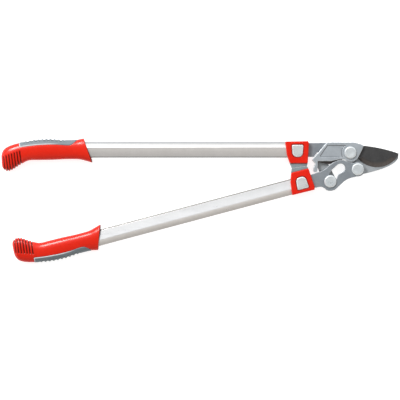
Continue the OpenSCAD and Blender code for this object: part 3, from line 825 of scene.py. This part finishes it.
def makePads(rings, border):
    # a strip of the sections' surface between the two borders, raised along its normals, rolled down on a
    # quarter circle at its rim, and closed by the same strip below the surface
    low, high = pad["border"][0][0] * mm + pad["margin"], pad["border"][-1][0] * mm - pad["margin"]
    keep = (rings[:, 0] > low) & (rings[:, 0] < high)
    rows, limit = rings[keep], border[keep] - 0.02
    across = np.sin(np.linspace(-math.pi / 2, math.pi / 2, pad["across"]))  # closer together near the rims
    angle = limit[:, None] * across[None, :]
    base = gripPoint(rows[:, None, :], angle)
    normal = np.cross(np.gradient(base, axis=1), np.gradient(base, axis=0))
    normal /= np.maximum(np.linalg.norm(normal, axis=-1, keepdims=True), 1e-12)
    normal *= np.sign(normal[len(rows) // 2, len(across) // 2, 1])  # outwards
    # distance to the nearest rim, along the surface
    step = np.linalg.norm(np.diff(base, axis=1), axis=-1)
    run = np.concatenate([np.zeros((len(rows), 1)), np.cumsum(step, 1)], 1)
    rim = np.minimum(run, run[:, -1:] - run)
    rim = np.minimum(rim, np.minimum(rows[:, 0] - low, high - rows[:, 0])[:, None])
    r = pad["edgeRound"]
    drop = r - np.sqrt(np.maximum(r * r - np.clip(r - rim, 0, r) ** 2, 0))
    ribs, troughs = padRibs(rows[:, 0], angle)
    rise = pad["rise"] - drop * pad["rimDrop"] + pad["ribHigh"] * ribs - pad["ribDeep"] * troughs
    skin = base + normal * rise[..., None]
    under = base - normal * (pad["seat"] + pad["under"])
    n, m = skin.shape[:2]
    points = np.vstack([skin.reshape(-1, 3), under.reshape(-1, 3)])
    faces = gridFaces(n, m, wrap=False)
    faces += [face[::-1] for face in gridFaces(n, m, start=n * m, wrap=False)]
    index = np.arange(n * m).reshape(n, m)
    rimLine = np.concatenate([index[0, :-1], index[:-1, -1], index[-1, :0:-1], index[:0:-1, 0]])
    nextOne = np.roll(rimLine, -1)
    faces += np.stack([nextOne, rimLine, rimLine + n * m, nextOne + n * m], 1).tolist()
    # a painted highlight: a pale line just inside the rim, on the half towards the pommel
    light = smoothStep(0.15, 0.5, rim / r) * (1 - smoothStep(0.9, 1.9, rim / r))
    light *= smoothStep(pad["highlightFrom"], pad["highlightFull"], rows[:, 0])[:, None] * (np.abs(angle) > 0.5)
    # painted shade in the troughs between the ribs
    marks = {"groove": np.append(troughs, np.zeros(n * m)), "rimHighlight": np.append(light, np.zeros(n * m))}
    bothArms("grip_pad", points, faces, material["softPad"], marks, 60)


makePads(*makeGrips())
print("grips made")

# collars, badges and bumpers

# the recess mark is painted shade round the badge's recess in the collar's face
collar = dict(edge=2.2 * mm, recessShade=-0.7, badgeGap=0.55 * mm, badgeRim=3.0 * mm, badgeStart=0.5 * mm,
              badgeFoot=0.05 * mm, bumperEdge=1.1 * mm)


def makeBadge(arm):
    # a plug whose rim is a quarter of an oval, from just below the collar's face to the badge's own
    face = heights(arm + "_collar")[1]
    low, high = heights(arm + "_badge")
    outline = nodeLoops(arm + "_badge", high)[0]
    outline = outline + inward(outline) * collar["badgeGap"]
    rim, start = collar["badgeRim"], face - collar["badgeStart"]
    # painted shade on the sides, down in the gap round the badge
    rings = [(0, low + collar["badgeFoot"], -1), (0, start, -0.5)]
    rings += [(rim * (1 - math.cos(a)), start + (high - start) * math.sin(a), math.sin(2 * a))
              for a in np.linspace(0, math.pi / 2, 9)[1:]]
    rings += [(rim * 1.1, high, 0)]
    badge = Solid()
    first, last = badge.wall(outline, rings)
    badge.cap([last])
    badge.cap([first], up=False)
    badge.piece(arm + "_badge_skin", material["badgePearl"], arm + "_arm", "badge", [arm + "_badge"])


for arm in ("upper", "lower"):
    makeFlat(arm + "_collar", collar["edge"], "collarPlastic", arm + "_arm", "collar", steps=6,
             sunk=heights(arm + "_badge")[0], lip=collar["recessShade"])
    makeBadge(arm)
    makeFlat(arm + "_bumper", collar["bumperEdge"], "bumperRubber", arm + "_arm", "bumper", steps=5)
print("collars made")

# plates of the head

head = dict(
    coverEdge=1.1 * mm, coverWiden=1.3, panelDeep=1.2 * mm, lowerEdge=1.1 * mm, lowerOverlap=0.6 * mm,
    # each flat plate's edge, finish, body and slot
    flat={"hook_blade": (0.7 * mm, "hookPaint", "upper_arm", "hook"),
          "link_plate": (0.6 * mm, "linkPaintLit", "link", "arm_plate"),
          "upper_tang": (1.1 * mm, "platePaint", "upper_arm", "arm_plate")})


def coverSpread(loop):
    # the bevel is widest on the slanted side that faces the arms
    way = inward(loop)
    facing = (way / np.linalg.norm(way, axis=1, keepdims=True))[:, 0]
    return 1 + head["coverWiden"] * smoothStep(0.35, 0.75, facing)


def makeLowerPlate():
    # level with the cover over the link, and thick where it enters the collar
    low, high = heights("lower_arm_plate")
    over = heights("front_cover")[0]
    made = plate(Solid(), "lower_arm_plate", over, high, head["lowerEdge"])
    for loop in nodeLoops("lower_arm_plate", low):
        if loopArea(loop) > 0:
            rings = edgeRings(head["lowerEdge"] / 2, low, over + head["lowerOverlap"])
            first, last = made.wall(loop, rings)
            made.cap([last])
            made.cap([first], up=False)
    made.piece("lower_arm_plate_skin", material["platePaint"], "lower_arm", "arm_plate", ["lower_arm_plate"])


makeFlat("front_cover", head["coverEdge"], "coverPaint", "upper_arm", "cover", steps=5, wider=coverSpread,
         sunk=heights("front_cover")[1] - head["panelDeep"])
for node, values in head["flat"].items():
    makeFlat(node, *values)
makeLowerPlate()

blade = dict(
    edge=0.6 * mm, ground=10 * mm, left=0.35 * mm, heelX=13 * mm, heelY=-6.2 * mm, fade=11 * mm,
    # bare metal along the lower rim of the tail, as distances from the main pivot: back and down
    tailBack=(18 * mm, 24 * mm), tailDown=(12 * mm, 15 * mm))


def groundEdge(solid, loop, isEdge, low, high):
    # the blade's wall: its front slopes down to a thin cutting edge, and at both ends of that edge the slope
    # fades into a small rounded one
    step = np.linalg.norm(loop - np.roll(loop, 1, 0), axis=1)
    start = int(np.flatnonzero(isEdge & ~np.roll(isEdge, 1))[0])
    turned = np.roll(np.arange(len(loop)), -start)
    run = np.empty(len(loop))
    run[turned] = np.cumsum(step[turned]) - step[turned][0]  # distance along the cutting edge
    left = run[isEdge].max() - run
    share = smoothStep(0, blade["fade"], run) * smoothStep(0, blade["fade"] * 0.8, left) * isEdge
    way = inward(loop)
    room = 0.9 * roomFor(loop, way) / np.linalg.norm(way, axis=1)
    width = np.minimum(blade["edge"] + share * (blade["ground"] - blade["edge"]), room)
    drop = blade["edge"] + share * (high - low - blade["left"] - blade["edge"])
    rings = [solid.ring(loop + way * (blade["edge"] * (1 - share))[:, None], low),
             solid.ring(loop, low + min(blade["edge"], blade["left"]), 0.3)]
    for t in np.linspace(0, 1, 9):
        inset = width * ((1 - math.cos(t * math.pi / 2)) * (1 - share) + t * share)
        height = high - drop * (1 - (math.sin(t * math.pi / 2) * (1 - share) + t * share))
        rings.append(solid.ring(loop + way * inset[:, None], height, 0.4 * (1 - t)))
    rings.append(solid.ring(loop + way * (width * 1.03)[:, None], high))
    for a, b in zip(rings, rings[1:]):
        solid.join(a, b)
    return rings[0], rings[-1]


def makeBlade():
    low, high = heights("cutting_blade")
    solid = Solid()
    walls = []
    for loop in nodeLoops("cutting_blade", high):
        fromPivot = loop - mainPivot[:2]
        isEdge = (fromPivot[:, 0] > blade["heelX"]) & (fromPivot[:, 1] < blade["heelY"])
        if loopArea(loop) > 0:
            walls.append(groundEdge(solid, loop, isEdge, low, high))
        else:
            size = min(blade["edge"], math.sqrt(-loopArea(loop)) * 0.1)
            walls.append(solid.wall(loop, edgeRings(size, low, high)))
    solid.cap([top for bottom, top in walls])
    solid.cap([bottom for bottom, top in walls], up=False)
    points = np.vstack(solid.points)
    x, y, z = (points - mainPivot).T
    up = (points[:, 2] - low) / (high - low)
    ground = (1 - smoothStep(0.55, 1, up)) * (points[:, 2] > low + 0.2 * mm)
    ground *= smoothStep(blade["heelX"] - 3 * mm, blade["heelX"] + 6 * mm, x)
    tail = smoothStep(*blade["tailBack"], -x) * smoothStep(*blade["tailDown"], -y)
    marks = {"wear": np.concatenate(solid.wear), "ground": np.maximum(ground, tail)}
    addPiece("cutting_blade_skin", points, solid.faces, material["bladeCoat"], "blade",
             ["cutting_blade"], marks, 30)


makeBlade()
print("plates made")

# bolts, nuts, rings and pins: profiles turned about their axes

bolts = dict(
    headR=11.5 * mm, headHigh=3.5 * mm, bevel=1.5 * mm, dish=0.25 * mm, footRound=0.5 * mm,
    # each bolt's shank radius, centre and body
    each={"main_bolt": (6 * mm, mainPivot, "upper_arm"), "arm_bolt": (5 * mm, armPivot, "upper_arm"),
          "link_bolt": (5 * mm, linkPivot, "lower_arm")})

# edge and body of each nut, ring and pin
hardware = {"main_nut": (0.6 * mm, "upper_arm"), "arm_nut": (0.6 * mm, "upper_arm"),
            "link_nut": (0.6 * mm, "lower_arm"), "arm_spacer": (0.3 * mm, "upper_arm"),
            "link_spacer": (0.3 * mm, "lower_arm"), "tail_clip": (0.25 * mm, "blade"),
            "tail_pin": (0.4 * mm, "blade")}


def lathe(name, centre, profile, finish, body, replaced, around=96):
    # a profile of (radius, height, wear, below 0 painted shade) from axis to axis, turned once round
    profile = np.array(profile, float)
    angle = np.linspace(0, 2 * math.pi, around, endpoint=False)
    rows = profile[1:-1]
    grid = np.empty((len(rows), around, 3))
    grid[..., 0] = centre[0] + rows[:, :1] * np.cos(angle)
    grid[..., 1] = centre[1] + rows[:, :1] * np.sin(angle)
    grid[..., 2] = rows[:, 1:2]
    ends = [[centre[0], centre[1], profile[0, 1]], [centre[0], centre[1], profile[-1, 1]]]
    points = np.vstack([grid.reshape(-1, 3), ends])
    faces = gridFaces(len(rows), around)
    faces += fan(np.arange(around)[::-1], len(points) - 2)
    faces += fan(np.arange(around) + (len(rows) - 1) * around, len(points) - 1)
    wear = np.append(np.repeat(rows[:, 2], around), [0, 0])
    return addPiece(name, points, faces, material[finish], body, replaced, {"wear": wear}, 35)


def boltProfile(shank, low, high):
    # a round shank, then a head with a bevel whose two ends are rounded off, and a shallow dish in its face
    foot, under, r = bolts["footRound"], high - bolts["headHigh"], bolts["headR"]
    rim, face, dish = high - bolts["bevel"], r - bolts["bevel"], bolts["dish"]
    # painted shade round the underside of the head's rim, where it sits on the plate
    return [(0, low, 0), (shank - foot, low, 0.4), (shank, low + foot, 0.4), (shank, under, 0),
            (r - 0.3 * mm, under, -0.6), (r, under + 0.3 * mm, -0.8), (r, under + 0.9 * mm, 0),
            (r, rim - 0.25 * mm, 0), (r - 0.05 * mm, rim - 0.08 * mm, 0.7),
            (r - 0.2 * mm, rim + 0.1 * mm, 0.3), (face + 0.15 * mm, high - 0.3 * mm, 0.2),
            (face - 0.05 * mm, high - 0.14 * mm, 0.7), (face - 0.3 * mm, high - 0.05 * mm, 0.6),
            (face - 0.7 * mm, high, 0), (r * 0.6, high - dish * 0.6, 0), (r * 0.35, high - dish, 0),
            (r * 0.15, high - dish, 0), (0, high - dish, 0)]


def makeBolts():
    for node, (shank, centre, body) in bolts["each"].items():
        profile = boltProfile(shank, *heights(node))
        lathe(node + "_skin", centre, profile, "boltSilver", body, [node])


makeBolts()
for node, (edge, body) in hardware.items():
    makeFlat(node, edge, "zincSteel", body, "hardware")
print("hardware made")

# floor, light and camera

studio = dict(
    floorSize=9.0, floorGlow=0.78, distance=5.0, lens=240.0, wide=0.7585, middleY=1.1 * mm, skyStrength=1.0,
    # the way the sky's colours run, and each colour's place from warm and low (0) to bright and high (1)
    skyWay=(-0.34, 0.94, 0.0),
    sky=[(0.0, (0.72, 0.66, 0.60)), (0.22, (0.50, 0.47, 0.44)), (0.42, (0.34, 0.335, 0.33)),
         (0.54, (0.34, 0.35, 0.36)), (0.66, (0.70, 0.73, 0.77)), (0.80, (1.3, 1.32, 1.35)),
         (1.0, (1.5, 1.5, 1.5))])


def makeStage():
    side = studio["floorSize"] / 2
    mesh = bpy.data.meshes.new("floor")
    corners = [(-side, -side, 0), (side, -side, 0), (side, side, 0), (-side, side, 0)]
    mesh.from_pydata(corners, [], [(0, 1, 2, 3)])
    floor = bpy.data.objects.new("floor", mesh)
    bpy.context.scene.collection.objects.link(floor)
    paper = bpy.data.materials.new("floorPaper")
    paper.use_nodes = True
    shader = paper.node_tree.nodes["Principled BSDF"]
    shader.inputs["Base Color"].default_value = (0.6, 0.6, 0.6, 1)
    shader.inputs["Roughness"].default_value = 0.9
    shader.inputs["Specular IOR Level"].default_value = 0.0
    shader.inputs["Emission Color"].default_value = (1, 1, 1, 1)
    shader.inputs["Emission Strength"].default_value = studio["floorGlow"]
    mesh.materials.append(paper)


def makeWorld():
    # a soft sky: bright towards +Y and the left, warm towards -Y and dimmest overhead
    world = bpy.data.worlds.new("softSky")
    bpy.context.scene.world = world
    world.use_nodes = True
    nodes, links = world.node_tree.nodes, world.node_tree.links
    way = nodes.new("ShaderNodeTexCoord").outputs["Generated"]
    tilt = nodes.new("ShaderNodeVectorMath")
    tilt.operation = "DOT_PRODUCT"
    links.new(way, tilt.inputs[0])
    tilt.inputs[1].default_value = studio["skyWay"]
    ramp = nodes.new("ShaderNodeValToRGB")
    while len(ramp.color_ramp.elements) < len(studio["sky"]):
        ramp.color_ramp.elements.new(0.5)
    for element, (position, colour) in zip(ramp.color_ramp.elements, studio["sky"]):
        element.position = position
        element.color = (*colour, 1)
    scaled = nodes.new("ShaderNodeMapRange")
    scaled.inputs["From Min"].default_value = -1
    links.new(tilt.outputs["Value"], scaled.inputs["Value"])
    links.new(scaled.outputs["Result"], ramp.inputs["Fac"])
    links.new(ramp.outputs["Color"], nodes["Background"].inputs["Color"])
    nodes["Background"].inputs["Strength"].default_value = studio["skyStrength"]


def areaLight(name, place, size, power, colour=(1, 1, 1)):
    # a round lamp that faces the origin
    light = bpy.data.lights.new(name, "AREA")
    light.shape = "DISK"
    light.size = size
    light.energy = power
    light.color = colour
    lamp = bpy.data.objects.new(name, light)
    lamp.location = place
    lamp.rotation_euler = (-Vector(place)).to_track_quat("-Z", "Y").to_euler()
    bpy.context.scene.collection.objects.link(lamp)


def makeCamera():
    # straight down from far off: the sensor is as wide as the view's width, scaled by lens over distance
    camera = bpy.data.cameras.new("camera")
    camera.lens = studio["lens"]
    camera.sensor_width = studio["lens"] * studio["wide"] / (studio["distance"] - midZ)
    eye = bpy.data.objects.new("camera", camera)
    eye.location = (0, studio["middleY"], studio["distance"])
    bpy.context.scene.collection.objects.link(eye)
    bpy.context.scene.camera = eye


makeStage()
makeWorld()
areaLight("key", (-0.9, 1.5, 1.5), 0.6, 37)
areaLight("fill", (0.9, -1.3, 1.9), 1.6, 3, (1.0, 0.94, 0.87))
makeCamera()
bpy.context.scene.view_settings.view_transform = "Standard"
print("stage made")
